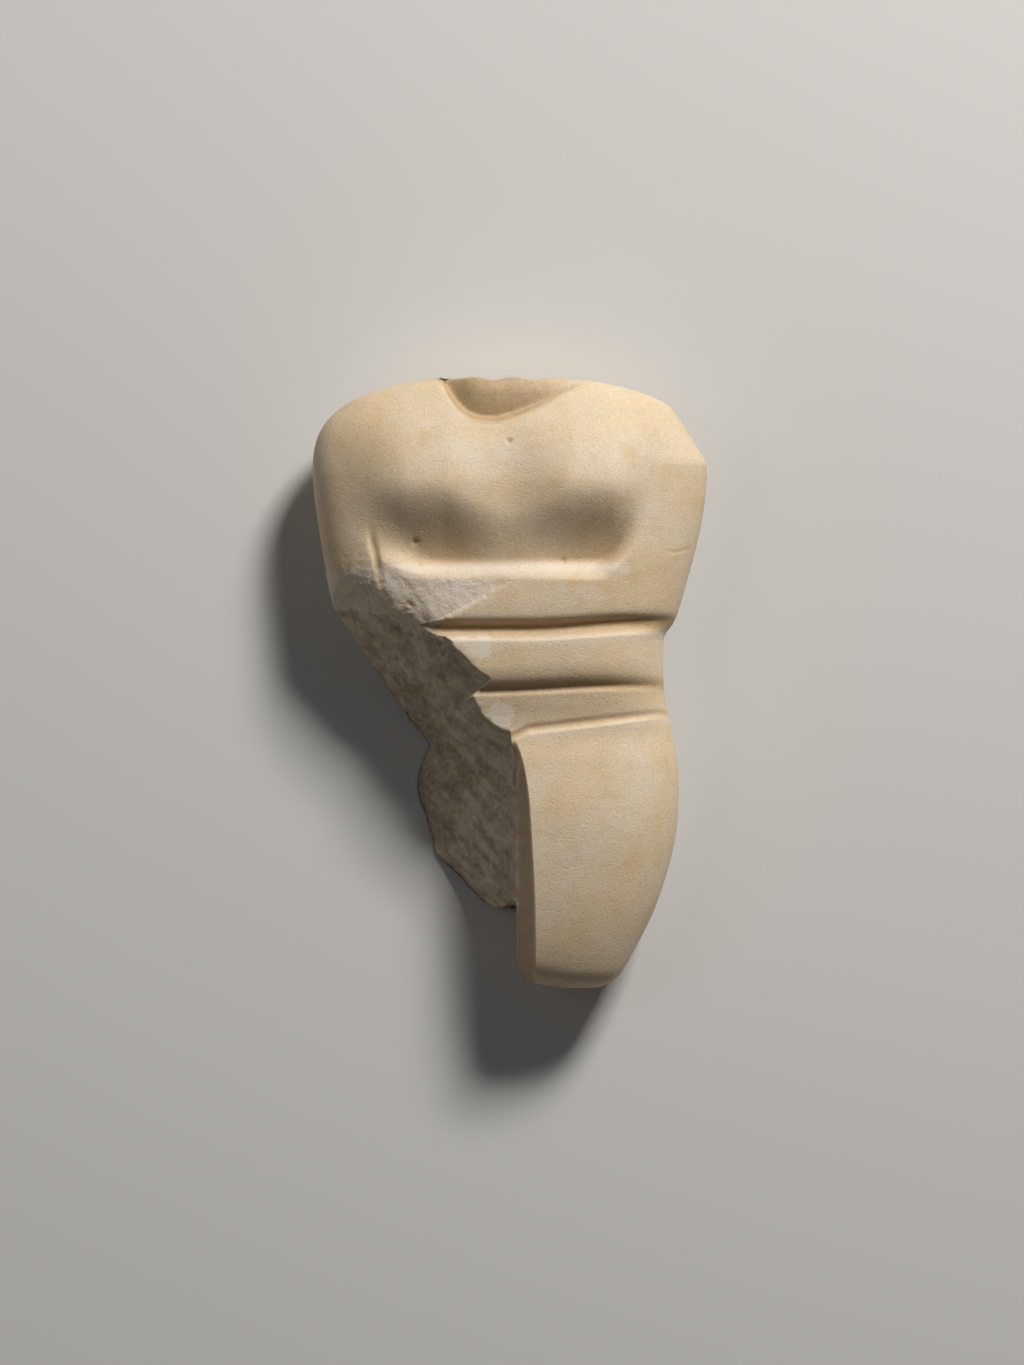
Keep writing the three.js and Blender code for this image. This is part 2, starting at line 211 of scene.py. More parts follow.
def left_flank(y):
    whole = half_width(y, SHOULDER["left"])
    return soft_min(whole, chip_edge(y) + SHOULDER_CHIP["out"], SHOULDER_CHIP["round"])


def right_flank(y):
    fuller = RIGHT_ARM["fuller"] * bump((y - RIGHT_ARM["y"]) / RIGHT_ARM["half_length"])
    return -half_width(y, SHOULDER["right"]) - fuller


cleft_edge = through(
    (-68, 5.8), (-54, 5.7), (-45, 5.4), (-33, 4.7), (-26, 4.2), (-21, 3.5), (-16.5, 2.5), (CROTCH, 0.9)
)  # fmt: skip
web_edge = through(
    (-70, 3.5), (-68.3, 3), (-66, 2.1), (-62, 1.5), (-34, 1.4), (-24, 1.2), (-18, 0.9), (CROTCH, 0.2)
)  # fmt: skip
# The cleft takes a share of the stone in front of and behind the flanks' line. It opens below the crotch.
CLEFT_SHARE = {"front": 0.45, "back": 0.3}
CLEFT_OPENING = {"from": -0.5, "to": 11, "curve": 1.2}
BACK_CLEFT_LEAN = 2.2
# Over this length about the crotch, the middle line moves from the torso's middle to the cleft.
AXIS_SHIFT = {"above": 12, "below": 6}


def axis(y):
    return web_edge(y) * step(-y, -CROTCH - AXIS_SHIFT["above"], -CROTCH + AXIS_SHIFT["below"])


# ---- Front --------------------------------------------------------------------------------------

front_line = through(
    (LEG_END, 18.2), (-68, 22.3), (-64, 25.2), (-56, 28), (-44, 30.2), (-30, 31), (-18, 29.8),
    (-12, 28.8), (-8, 29), (-4, 29.9), (0, 30.7), (6, 31.1), (13, 31.2), (24, 31.3), (34, 31),
    (48, 30.2), (58, 28.8), (66, 25.8), (NECK_END, 23.4),
)  # fmt: skip

# The breasts swell over the chest: how high, from where to where up the body, and how far across.
# Between them they are lower, by a share of their height, and start lower down.
BREAST = {
    "height": 4.0, "foot": 29.0, "top": 45.0, "fade": 68.0,
    "inside": 15.0, "outside": 23.0, "between": 0.3, "drop": 6,
}  # fmt: skip
# The chest is cut back between the upper arms and above the forearms, most of all under the breasts.
CHEST = {"middle": 2.0, "sides": 4.4, "fade_from": 46.5, "fade_to": 28.6, "curve": 1.5, "ledge": 4.8}
CHEST_SIDES = {"from": 2, "to": 16}
ARM_WALL = {"right": 14.0, "left": 6.0}
left_arm_edge = through((26, 24), (30, 28), (34, 30.5), (40, 32.5), (47, 34), (56, 35.5))
right_arm_edge = through((26, 28), (30, 33), (34, 36), (39, 38), (45, 39), (53, 39.5))


def arm_edge(x, y):
    return np.where(x > 0, left_arm_edge(y), right_arm_edge(y))


def breasts(x, y):
    out = np.abs(x)
    top = BREAST["top"] - BREAST["drop"] * np.clip(1 - out / BREAST["inside"], 0, 1)
    up = step(y, BREAST["foot"], top) * step(-y, -BREAST["fade"], -BREAST["top"])
    across = lerp(BREAST["between"], 1, step(out, 0, BREAST["inside"]))
    across = across * step(-out, -arm_edge(x, y), -BREAST["outside"])
    return BREAST["height"] * up * across


def hollowed(x, y):
    """How far the chest is cut back, as a share of the whole cut."""
    wall = np.where(x > 0, ARM_WALL["left"], ARM_WALL["right"])
    sides = step((arm_edge(x, y) - np.abs(x)) / wall, 0, 1)
    fall = CHEST["fade_from"] - CHEST["fade_to"]
    down = np.clip((CHEST["fade_from"] - y) / fall, 0, 1) ** CHEST["curve"]
    ledge = step(y - FOREARM["top"], 0, CHEST["ledge"])
    return sides * down * ledge


def chest_cut(x, y):
    sideways = step(np.abs(x), CHEST_SIDES["from"], CHEST_SIDES["to"])
    return lerp(CHEST["middle"], CHEST["sides"], sideways) * hollowed(x, y)


# The hand of the upper forearm ends against the right arm at a short groove.
HAND_GROOVE = {"depth": 0.8, "half_width": 1.3, "top": 37, "top_fade": 7, "foot": 17, "foot_full": 21}
hand_line = through((18, -28.8), (26, -30), (34, -31.6), (44, -32.6))


def hand_groove(x, y):
    section = HAND_GROOVE["depth"] * bump((x - hand_line(y)) / HAND_GROOVE["half_width"])
    above = step(HAND_GROOVE["top"] - y, 0, HAND_GROOVE["top_fade"])
    return section * above * step(y, HAND_GROOVE["foot"], HAND_GROOVE["foot_full"])


def rounded_to(y, edge, above, convex):
    """0 at `above` over an edge line and 1 on it, falling off like the lower side of a rounded arm."""
    return np.clip((edge + above - y) / above, 0, 1) ** convex


# Each groove rises a little towards the left arm.
UPPER_RISE = {"height": 1.3, "from": 4, "to": 30}
LOWER_RISE = {"height": 1.1, "from": -8, "to": 26}


def upper_groove(x):
    return FOREARM["groove"] + UPPER_RISE["height"] * step(x, UPPER_RISE["from"], UPPER_RISE["to"])


def lower_groove(x):
    return FOREARM["bottom"] + LOWER_RISE["height"] * step(x, LOWER_RISE["from"], LOWER_RISE["to"])


# A forearm rolls off, then turns in sharply at its edge. The cut's floor comes up again below.
UPPER_CUT = {
    "roll": 0.5, "roll_reach": 6.5, "roll_curve": 2, "turn": 2.1, "turn_reach": 3.0, "turn_curve": 3,
    "floor": 0.9, "end": 3.6,
}  # fmt: skip
LOWER_CUT = {"depth": 0.6, "reach": 3, "curve": 2, "floor": 0.2, "end": 1.6}


def forearm_cuts(x, y):
    upper, lower = upper_groove(x), lower_groove(x)
    roll = UPPER_CUT["roll"] * rounded_to(y, upper, UPPER_CUT["roll_reach"], UPPER_CUT["roll_curve"])
    turn = UPPER_CUT["turn"] * rounded_to(y, upper, UPPER_CUT["turn_reach"], UPPER_CUT["turn_curve"])
    full = UPPER_CUT["roll"] + UPPER_CUT["turn"]
    below = full * step(y, upper - UPPER_CUT["end"], upper - UPPER_CUT["floor"])
    under_upper = np.where(y > upper, roll + turn, below)
    over_lower = rounded_to(y, lower, LOWER_CUT["reach"], LOWER_CUT["curve"])
    below = step(y, lower - LOWER_CUT["end"], lower - LOWER_CUT["floor"])
    return under_upper + LOWER_CUT["depth"] * np.where(y > lower, over_lower, below)


# The top edge of the thighs dips to the crotch, most steeply close to it.
THIGH_DIP = {"height": 2, "half_width": 4, "reach": 30}
# The belly is cut back from the lower forearm, and drops to the thighs at a seam.
BELLY = {"cut": 1.9, "reach": 6.5, "curve": 2.4, "seam": 0.35, "seam_width": 1.2}
THIGH_LIP = {"thighs": 1.1, "edge": 2.25, "width": 1.6}


def thigh_top(x):
    out = np.abs(x - axis(CROTCH))
    dip = THIGH_DIP["half_width"]
    near = THIGH_TOP["middle"] + THIGH_DIP["height"] * np.minimum(out / dip, 1)
    return lerp(near, THIGH_TOP["flank"], np.clip((out - dip) / THIGH_DIP["reach"], 0, 1))


def belly(x, y):
    edge, forearm_edge = thigh_top(x), lower_groove(x)
    above = BELLY["cut"] * rounded_to(y, forearm_edge, BELLY["reach"], BELLY["curve"])
    above = above + BELLY["seam"] * bump((y - edge) / BELLY["seam_width"])
    lip = step(y - edge + THIGH_LIP["width"], 0, THIGH_LIP["width"])
    return np.where(y > edge, above, lerp(THIGH_LIP["thighs"], THIGH_LIP["edge"], lip))


# A curved groove goes round the foot of the neck, shallower on the left, and the neck swells out of it.
NECKLINE = {
    "x": -3.0, "y": 60.2, "right": 12.4, "left": 20.9, "rise": 9.0, "right_curve": 3.2, "left_curve": 1.25
}  # fmt: skip
NECK = {"groove": 3.0, "left_groove": 0.9, "swell": 0.95, "round": 0.036, "lip": (-0.6, 0.7)}
NECK_LEFT_SHORT = 4  # how far short of the neckline's left end the groove is shallowest


def neckline(x):
    out = x - NECKLINE["x"]
    right = np.clip(-out / NECKLINE["right"], 0, None) ** NECKLINE["right_curve"]
    left = np.clip(out / NECKLINE["left"], 0, None) ** NECKLINE["left_curve"]
    return NECKLINE["y"] + NECKLINE["rise"] * np.where(out < 0, right, left)


def past_neckline(x, y):
    """How far a point lies up the neck from the neckline, about square to that line."""
    run = 0.1
    steepness = (neckline(x + run) - neckline(x - run)) / (2 * run)
    return (y - neckline(x)) / np.hypot(1, steepness)


def neck_cut(x, y):
    past = past_neckline(x, y)
    leftwards = step(x, 0, NECKLINE["left"] - NECK_LEFT_SHORT)
    groove = lerp(NECK["groove"], NECK["left_groove"], leftwards)
    up = np.clip(past, 0, None)
    swell = (NECK["swell"] - NECK["round"] * up) * up * groove / NECK["groove"]
    return groove * step(past, *NECK["lip"]) - swell


def cleft(x, y, lean):
    opened = step(CROTCH - y, CLEFT_OPENING["from"], CLEFT_OPENING["to"])
    beside = np.clip(np.abs(x - web_edge(y)) / lean, 0, 1)
    return opened * (1 - beside ** CLEFT_OPENING["curve"])


def bare_front(y, across, carved=0.0):
    roll = (1 - np.abs(across) ** FRONT_ROUND["x"]) ** (1 / FRONT_ROUND["z"])
    return FLANK_HEIGHT + (front_line(y) - FLANK_HEIGHT + carved) * roll


def front_height(x, y, across):
    carved = breasts(x, y) - chest_cut(x, y) - hand_groove(x, y)
    carved = carved - forearm_cuts(x, y) - belly(x, y) - neck_cut(x, y)
    parted = 1 - CLEFT_SHARE["front"] * cleft(x, y, cleft_edge(y) - web_edge(y))
    return FLANK_HEIGHT + (bare_front(y, across, carved) - FLANK_HEIGHT) * parted


# ---- Back ---------------------------------------------------------------------------------------

back_line = through(
    (LEG_END, 9), (-66, 6.6), (-56, 3.4), (-44, 0.8), (-34, -0.5), (-22, -0.7), (-12, 0), (0, 1.6),
    (10, 2.1), (22, 1), (34, -0.5), (48, -0.6), (58, 0.6), (65, 3), (NECK_END, 5.4),
)  # fmt: skip


# Shallow lines cut in the back: each one's depth, half width and place, and where its ends fade.
SPINE_LINE = {"depth": 0.9, "half_width": 1.8, "top": 56, "top_fade": 6, "foot": (-8, 4)}
ARM_LINES = {"depth": 0.9, "half_width": 1.6, "x": 29.5, "top": 50, "top_fade": 6, "foot": (14, 20)}
HIP_LINE = {"depth": 0.8, "half_width": 1.6, "y": -7}


def upright_line(line, out, y):
    section = line["depth"] * bump(out / line["half_width"])
    return section * step(line["top"] - y, 0, line["top_fade"]) * step(y, *line["foot"])


def back_cuts(x, y):
    spine = upright_line(SPINE_LINE, x, y)
    arms = upright_line(ARM_LINES, np.abs(x) - ARM_LINES["x"], y)
    hips = HIP_LINE["depth"] * bump((y - HIP_LINE["y"]) / HIP_LINE["half_width"])
    return spine + arms + hips


def back_height(x, y, across):
    roll = (1 - np.abs(across) ** BACK_ROUND["x"]) ** (1 / BACK_ROUND["z"])
    parted = 1 - CLEFT_SHARE["back"] * cleft(x, y, BACK_CLEFT_LEAN)
    height = FLANK_HEIGHT - (FLANK_HEIGHT - back_line(y)) * roll * parted
    return np.maximum(height, 0) + back_cuts(x, y) * roll


# ---- Ends ---------------------------------------------------------------------------------------

# The stump of the neck broke off in shallow waves. The leg's end is worn, most of all on the inside.
NECK_WAVE = {"x": 1, "depth": 0.8, "length": 9.5, "half_width": 18.0, "reach": 4.0}
LEG_WEAR = {"outside": 14.4, "depth": 1.7, "width": 11.4, "reach": 7.0, "curve": 1.5}


def worn(x, y):
    """y of a point once its end is broken or worn."""
    swell = 1 - np.cos(2 * np.pi * (x - NECK_WAVE["x"]) / NECK_WAVE["length"])
    wave = NECK_WAVE["depth"] / 2 * swell * bump(x / NECK_WAVE["half_width"])
    inside = np.clip((LEG_WEAR["outside"] - x) / LEG_WEAR["width"], 0, None)
    wear = LEG_WEAR["depth"] * inside ** LEG_WEAR["curve"]
    at_neck = step(y, NECK_END - NECK_WAVE["reach"], NECK_END)
    at_leg = step(LEG_END + LEG_WEAR["reach"] - y, 0, LEG_WEAR["reach"])
    return y - wave * at_neck + wear * at_leg


# ---- The break ----------------------------------------------------------------------------------

# The waist broke on a slant, from the elbow to the crotch. The broken face starts halfway up the side
# and runs down onto the back. It bites further in under the end of the lower forearm.
WAIST_BREAK = {"corner": (-39.4, 15.6), "along": (0.562, -0.827), "width": 17.2, "top": 30.5}
WAIST_BULGE = {"elbow": 1.9, "crotch": 1.3, "from": 2, "to": 16}
WAIST_LOW = {"height": 12.4, "fall": 0.34, "length": 36.0, "rise": 0.9}
WAIST_TOP_FALL = {"from": 37.0, "to": 49.0, "depth": 6.0}
FOREARM_BITE = {"from": 22.0, "full": 31.6, "to": 32.6, "depth": 4.4}


def waist_break(x, y):
    (cx, cy), (ax, ay) = WAIST_BREAK["corner"], WAIST_BREAK["along"]
    down = (x - cx) * ax + (y - cy) * ay
    inward = ((x - cx) * -ay + (y - cy) * ax) / WAIST_BREAK["width"]
    below_corner = WAIST_LOW["fall"] * np.minimum(down, WAIST_LOW["length"])
    fallen = np.where(down > 0, below_corner, WAIST_LOW["rise"] * down)
    crotchwards = step(down, WAIST_BULGE["from"], WAIST_BULGE["to"])
    bulge = lerp(WAIST_BULGE["elbow"], WAIST_BULGE["crotch"], crotchwards)
    climb = np.where(inward < 1, 1 - np.clip(1 - inward, 0, None) ** bulge, inward)
    bite_length = FOREARM_BITE["full"] - FOREARM_BITE["from"]
    bitten = np.clip((down - FOREARM_BITE["from"]) / bite_length, 0, 1)
    bitten = bitten * step(-down, -FOREARM_BITE["to"], -FOREARM_BITE["full"])
    bite = FOREARM_BITE["depth"] * bitten * np.clip(inward, 0, None)
    top_fallen = WAIST_TOP_FALL["depth"] * step(down, WAIST_TOP_FALL["from"], WAIST_TOP_FALL["to"])
    return lerp(WAIST_LOW["height"] - fallen, WAIST_BREAK["top"] - top_fallen, climb) - bite


# A thin flake has come off the front of the upper forearm and the elbow. It is deeper down and to the
# right, and stops along a slanted line on the left.
FLAKE = {"top": 25.6, "deepening": 0.005, "edge_step": 0.8}
FLAKE_EDGE = {"from": (-16.1, 14.6), "normal": (0.469, -0.883)}


def flake(x, y):
    across = np.clip(x / right_flank(y), 0, 1)
    (x0, y0), (nx, ny) = FLAKE_EDGE["from"], FLAKE_EDGE["normal"]
    beyond_edge = np.clip((x - x0) * nx + (y - y0) * ny, 0, None)
    depth = FLAKE["deepening"] * (FLAKE["top"] - y) * -x
    return bare_front(y, across) - depth + FLAKE["edge_step"] * beyond_edge


# What is left of the right thigh is a wedge at the back with four slanting faces: a point on each
# face's lower edge, the way in from that edge, the height there and the slope.
THIGH_FACES = {
    "top": ((-19.1, -14.1), (0.95, -0.32), 0.4, 1.3),
    "side": ((-21.9, -23.5), (0.96, 0.28), 0.7, 1.0),
    "low": ((-18, -38.6), (0.733, 0.68), 1.4, 2.3),
    "end": ((-3, -52.8), (0, 1), 2.2, 5),
}
THIGH_ROUND = {"above": 2, "below": 0.6, "between": 1.2}


def rising(x, y, edge, inward, height, slope):
    """A plane that rises from an edge line, met by walking `inward` from a point of the edge."""
    walked = ((x - edge[0]) * inward[0] + (y - edge[1]) * inward[1]) / math.hypot(*inward)
    return height + slope * walked


def thigh_break(x, y):
    top, side, low, end = (rising(x, y, *face) for face in THIGH_FACES.values())
    above = soft_min(top, side, THIGH_ROUND["above"])
    below = soft_min(low, end, THIGH_ROUND["below"])
    return soft_min(above, below, THIGH_ROUND["between"])


BREAK_TOP = 34.0  # nothing is lost above this
# The broken faces are gently hollowed and lumpy, as coarse marble breaks: sizes and depths of the lumps.
BREAK_RELIEF = {"broad": (11.0, 0.7), "middle": (4.4, 0.32), "fine": (1.8, 0.14)}
BREAK_SEED = 20
BREAK_HOLLOW = 0.4  # how far the relief leans to hollows, as a share of its depth
FLAKE_RELIEF = 0.3  # share of the relief that the thin flake has
FLAKE_MARGIN = (-0.5, 1.5)  # depth between the flake and the deep break, over which one becomes the other
FLAKE_ROUND = 1


def break_height(x, y):
    """Height of the broken surface, and how far it is the flake rather than the deep break."""
    waist, shallow, thigh = waist_break(x, y), flake(x, y), thigh_break(x, y)
    points = flat_points(x, y)
    relief = 0.0
    for seed, (size, depth) in enumerate(BREAK_RELIEF.values()):
        relief = relief + depth * (noise(points, size, BREAK_SEED + seed) - BREAK_HOLLOW)
    deep = np.maximum(waist + relief, thigh + relief)
    thin = shallow + FLAKE_RELIEF * relief
    flaked = step(waist - shallow, *FLAKE_MARGIN) * (thigh < waist)
    height = np.maximum(soft_min(waist + relief, thin, FLAKE_ROUND), thigh + relief)
    return height, flaked * (deep > thin)


# ---- The mesh -----------------------------------------------------------------------------------

SEAM_SPREAD = 4.0
EDGE_ROUND = 0.25  # how far the edges of the break are worn round
UNBROKEN = -20.0  # stands for the depth of the loss where nothing is lost
DENSE = 420  # samples in each stretch of a section, before its points are spread out evenly
COLUMNS = {"right": 102, "wall": 12, "left": 100, "back": 46}
CAP_RINGS = 8
# Distance between sections: (y, spacing), level beyond the ends. They crowd at the end of the right thigh.
row_spacing = through(
    (-57, 0.6), (-54.5, 0.3), (-53, 0.2), (-51.5, 0.22), (-50, 0.42), (-20, 0.46), (-14, 0.36), (70, 0.37)
)  # fmt: skip


def seam(y):
    return np.where(y < CROTCH, cleft_edge(y), cleft_edge(CROTCH)) + SEAM_SPREAD * step(y, CROTCH, 0)


def section_places():
    """y of each section, from the leg's end to the neck."""
    fine = np.linspace(LEG_END, NECK_END, 4001)
    gaps = 1 / row_spacing(fine)
    count = np.concatenate([[0], np.cumsum((gaps[1:] + gaps[:-1]) / 2 * np.diff(fine))])
    rows = round(count[-1])
    return np.interp(np.linspace(0, count[-1], rows + 1), count, fine)


def crowded(count, start, end):
    """Shares from 0 to 1, closer together at the ends that are set to True."""
    even = np.linspace(0, 1, count)
    if start and end:
        return 0.88 * (1 - np.cos(np.pi * even)) / 2 + 0.12 * even
    if end:
        return 0.88 * np.sin(np.pi / 2 * even) + 0.12 * even
    if start:
        return 1 - crowded(count, False, True)[::-1]
    return even


def across_of(x, y):
    """Share of the way from the middle line to a flank, with its sign."""
    middle = axis(y)
    side = np.where(x < middle, middle - right_flank(y), left_flank(y) - middle)
    return np.clip((x - middle) / side, -1, 1)


def top_of(x, y):
    """Height of the front today, how far the break lies under the old skin, and the share that is flake."""
    skin = front_height(x, y, across_of(x, y))
    broken, flaked = break_height(x, worn(x, y))
    within = (x <= web_edge(y) + 1e-6) & (y < BREAK_TOP)
    height = np.where(within, soft_min(skin, broken, EDGE_ROUND), skin)
    lost = np.where(within, skin - broken, UNBROKEN)
    return height, lost, flaked


def spread(samples, count, last):
    """Points evenly spaced along each row of samples. The last point is kept only if `last` is set."""
    out = np.empty((len(samples), count, samples.shape[2]))
    shares = np.linspace(0, 1, count + (0 if last else 1))[:count]
    for row, line in enumerate(samples):
        steps = np.linalg.norm(np.diff(line[:, [0, 2]], axis=0), axis=1)
        along = np.concatenate([[0], np.cumsum(steps + 1e-7)])
        for field in range(samples.shape[2]):
            out[row, :, field] = np.interp(shares * along[-1], along, line[:, field])
    return out


def stretch(x, y, height, lost=None, flaked=None):
    """Samples of one stretch of every section: x, y, z, depth of loss, share of flake."""
    lost = np.full_like(x, UNBROKEN) if lost is None else lost
    flaked = np.zeros_like(x) if flaked is None else flaked
    return np.stack([x, worn(x, y), height, lost, flaked], axis=-1)


def silhouette(y):
    """x of the figure's right edge, where the front or the break meets the back."""
    x = lerp(right_flank(y), web_edge(y), crowded(3 * DENSE, True, False))
    height, _, _ = top_of(x, y)
    gap = height - back_height(x, y, across_of(x, y))
    gap[:, 0] = np.minimum(gap[:, 0], 0)
    edges = np.empty(len(y))
    for row in range(len(y)):
        last = np.nonzero(gap[row] <= 0)[0][-1]
        if last == gap.shape[1] - 1:
            edges[row] = x[row, -1]
            continue
        low, high = gap[row, last], gap[row, last + 1]
        edges[row] = lerp(x[row, last], x[row, last + 1], -low / (high - low) if last else 0)
    return edges[:, None]


def figure_grid():
    """Every section's points in a ring: right front, cleft wall, left front, back."""
    y = section_places()[:, None]
    edge, web, left, beside = silhouette(y), web_edge(y), left_flank(y), seam(y)
    everywhere = np.broadcast_to

    x = lerp(edge, web, crowded(DENSE, True, False))
    rows = everywhere(y, x.shape)
    height, lost, flaked = top_of(x, y)
    back_at_edge = back_height(edge, y, across_of(edge, y))
    height = np.maximum(height, back_at_edge)
    height[:, :1] = back_at_edge
    right_side = stretch(x, rows, height, lost, flaked)

    foot, head = height[:, -1:], front_height(web, y, across_of(web, y))
    rise = np.linspace(0, 1, DENSE // 4)[1:]
    wall_z = lerp(np.minimum(foot, head), head, rise)
    wall_x = everywhere(web, wall_z.shape)
    wall = stretch(wall_x, everywhere(y, wall_z.shape), wall_z, head - wall_z, np.zeros_like(wall_z))
    right_side = np.concatenate([right_side, wall], axis=1)

    x = lerp(web, beside, crowded(DENSE // 4, False, False))
    cleft_wall = stretch(x, everywhere(y, x.shape), front_height(x, y, across_of(x, y)))
    x = lerp(beside, left, crowded(DENSE, False, True))
    left_side = stretch(x, everywhere(y, x.shape), front_height(x, y, across_of(x, y)))
    x = lerp(left, edge, crowded(2 * DENSE, True, True))
    back = stretch(x, everywhere(y, x.shape), back_height(x, y, across_of(x, y)))
    return np.concatenate(
        [
            spread(right_side, COLUMNS["right"], False),
            spread(cleft_wall, COLUMNS["wall"], False),
            spread(left_side, COLUMNS["left"], False),
            spread(back, COLUMNS["back"], False),
        ],
        axis=1,
    )


def cap(ring, end):
    """Rings that close an end, shrinking towards its middle, from the outside in."""
    middle = (ring[:, :3].min(axis=0) + ring[:, :3].max(axis=0)) / 2
    rings = []
    for index in range(1, CAP_RINGS + 1):
        keep = 1 - index / (CAP_RINGS + 1)
        inner = ring.copy()
        inner[:, [0, 2]] = middle[[0, 2]] + (ring[:, [0, 2]] - middle[[0, 2]]) * keep
        inner[:, 1] = worn(inner[:, 0], np.full(len(ring), end))
        inner[:, 3] = 1.0
        inner[:, 4] = 0.0
        rings.append(inner)
    return rings


grid = figure_grid()
grid = np.concatenate([cap(grid[0], LEG_END)[::-1], grid, cap(grid[-1], NECK_END)])
rows, columns = grid.shape[:2]
place = grid[..., :3].copy()
lost, flaked = grid[..., 3], grid[..., 4]
is_front = np.zeros((rows, columns), bool)
is_front[:, : columns - COLUMNS["back"]] = True
in_cap = np.zeros((rows, columns), bool)
in_cap[:CAP_RINGS] = True
in_cap[-CAP_RINGS:] = True


def outward_normals(points):
    along = np.gradient(points, axis=0)
    wrapped = np.concatenate([points[:, -1:], points, points[:, :1]], axis=1)
    round_ring = (wrapped[:, 2:] - wrapped[:, :-2]) / 2
    normal = np.cross(round_ring, along)
    length = np.linalg.norm(normal, axis=-1, keepdims=True)
    return normal / np.maximum(length, 1e-9)


normal = outward_normals(place)
normal[:CAP_RINGS] = (0, -1, 0)
normal[-CAP_RINGS:] = (0, 1, 0)

# ---- Fine relief, always cut inwards ------------------------------------------------------------

BREAK_EDGE = (0.05, 0.5)  # depth of the loss over which the skin gives way to the break
RIM_REACH = 1.3
fresh = step(lost, *BREAK_EDGE) * (1 - in_cap)
flaked = np.clip(flaked, 0, 1)
x_of, y_of = place[..., 0], place[..., 1]
rim = bump(lost / RIM_REACH) * is_front * (1 - in_cap)


def inward(value):
    """Noise from -1 to 1 as a depth from 0 to 1."""
    return 0.5 - 0.5 * value


def near(points, width):
    """1 on a line through some points of the front, fading to 0 at `width` from it."""
    closest = np.full(x_of.shape, np.inf)
    for (x0, y0), (x1, y1) in zip(points, points[1:]):
        length = math.hypot(x1 - x0, y1 - y0)
        ux, uy = (x1 - x0) / length, (y1 - y0) / length
        along = np.clip((x_of - x0) * ux + (y_of - y0) * uy, 0, length)
        closest = np.minimum(closest, np.hypot(x_of - x0 - along * ux, y_of - y0 - along * uy))
    return bump(closest / width) * is_front


# Size, depth and seed of each layer of relief.
SKIN_WAVES = (14.0, 0.18, 1)
SKIN_LUMPS = (3.0, 0.06, 3)
BREAK_LUMPS = (2.0, 0.22, 30)
BREAK_GRAIN = (1.1, 0.20, 60)
RIM_CHIPS = (1.6, 0.25, 70)
RIM_CHIPS_KEPT = 0.5  # share of the rim that keeps its edge
FLAKE_FINE_RELIEF = 0.25  # the flake's fine relief, as a share of the break's


def lumps(size, depth, seed):
    return depth * inward(layered(place, size, seed, 2))


def grains(size, depth, seed):
    return depth * cells(place, size, seed)[1]


skin_depth = lumps(*SKIN_WAVES) + lumps(*SKIN_LUMPS)
break_depth = lumps(*BREAK_LUMPS) + grains(*BREAK_GRAIN)
broken = np.clip(fresh + in_cap, 0, 1)
depth = lerp(skin_depth, lerp(break_depth, FLAKE_FINE_RELIEF * break_depth, flaked), broken)
chip_size, chip_depth, chip_seed = RIM_CHIPS
chips = grains(chip_size, 1, chip_seed)
depth = depth + chip_depth * rim * np.clip(chips - RIM_CHIPS_KEPT, 0, 1)

# Small old holes and a hairline crack across the left arm: (x, y, radius, depth).
HOLES = [(-0.1, 55.1, 0.45, 0.5), (-21.5, 32.2, 0.5, 0.45), (-20.6, 27.0, 0.4, 0.4), (12.2, 27.9, 0.5, 0.5)]
CRACK = {"line": [(35.9, 30.2), (37.7, 29.8), (40.9, 30.7)], "half_width": 0.5, "depth": 0.12}
for hole_x, hole_y, radius, deep in HOLES:
    depth = depth + is_front * deep * bump(np.hypot(x_of - hole_x, y_of - hole_y) / (2 * radius))
depth = depth + CRACK["depth"] * near(CRACK["line"], CRACK["half_width"])

place -= normal * depth[..., None]


def hollowness(points, passes):
    """How far each point lies below the mean of its surroundings."""
    smooth = points
    for _ in range(passes):
        smooth = (np.roll(smooth, 1, axis=1) + np.roll(smooth, -1, axis=1) + 2 * smooth) / 4
        padded = np.concatenate([smooth[:1], smooth, smooth[-1:]])
        smooth = (padded[:-2] + padded[2:] + 2 * smooth) / 4
    return ((smooth - points) * normal).sum(axis=-1)


# ---- Masks for the stone ------------------------------------------------------------------------

skin = 1 - broken
front_skin = skin * is_front
under_upper = upper_groove(x_of) - y_of
under_lower = lower_groove(x_of) - y_of
above_thighs = y_of - thigh_top(x_of)
above_neckline = y_of - neckline(x_of)


def band(strength, middle, half_width, distance):
    """A band along a line, strongest at `middle` from it and fading out either side of that."""
    return strength * bump((distance - middle) / half_width)


# Brown dirt, and painted shade where marked below. A band has its strength, its distance from the line and
# its half width.
# Under each forearm's edge: brown dirt in the groove, with painted shade where the edge overhangs.
UPPER_DIRT_AND_SHADE = (0.95, 0.6, 2.6)
LOWER_DIRT_AND_SHADE = (0.75, -0.2, 2.4)
SEAM_GRIME = (0.5, 0.0, 1.2)
# The stump of the neck: brown dirt, with painted shade over its right half, which turns away from the
# light.
NECK_DIRT_AND_SHADE = {"floor": 0.7, "edge": (-0.8, 0.8), "right_of": (-20, -4)}
NECKLINE_GRIME = {"band": (0.85, 0, 1.6), "right_of": (-14, -4)}
# Painted shade: the chest's hollow under the breasts is darkened and browned, more beside the right arm.
CHEST_PAINTED_SHADE = {"strength": 0.42, "right_arm": 0.2, "from": (22, 30)}
CLEFT_GRIME = {"strength": 0.7, "edge": (0.02, 0.12)}
FLANK_CLEAN = {"x": 44, "fade": 4}  # dirt fades out before the flanks
# Painted shade: the skin is darkened and browned wherever it lies in a hollow.
HOLLOW_PAINTED_SHADE = {"strength": 0.6, "passes": 12, "depth": (0.03, 0.22)}
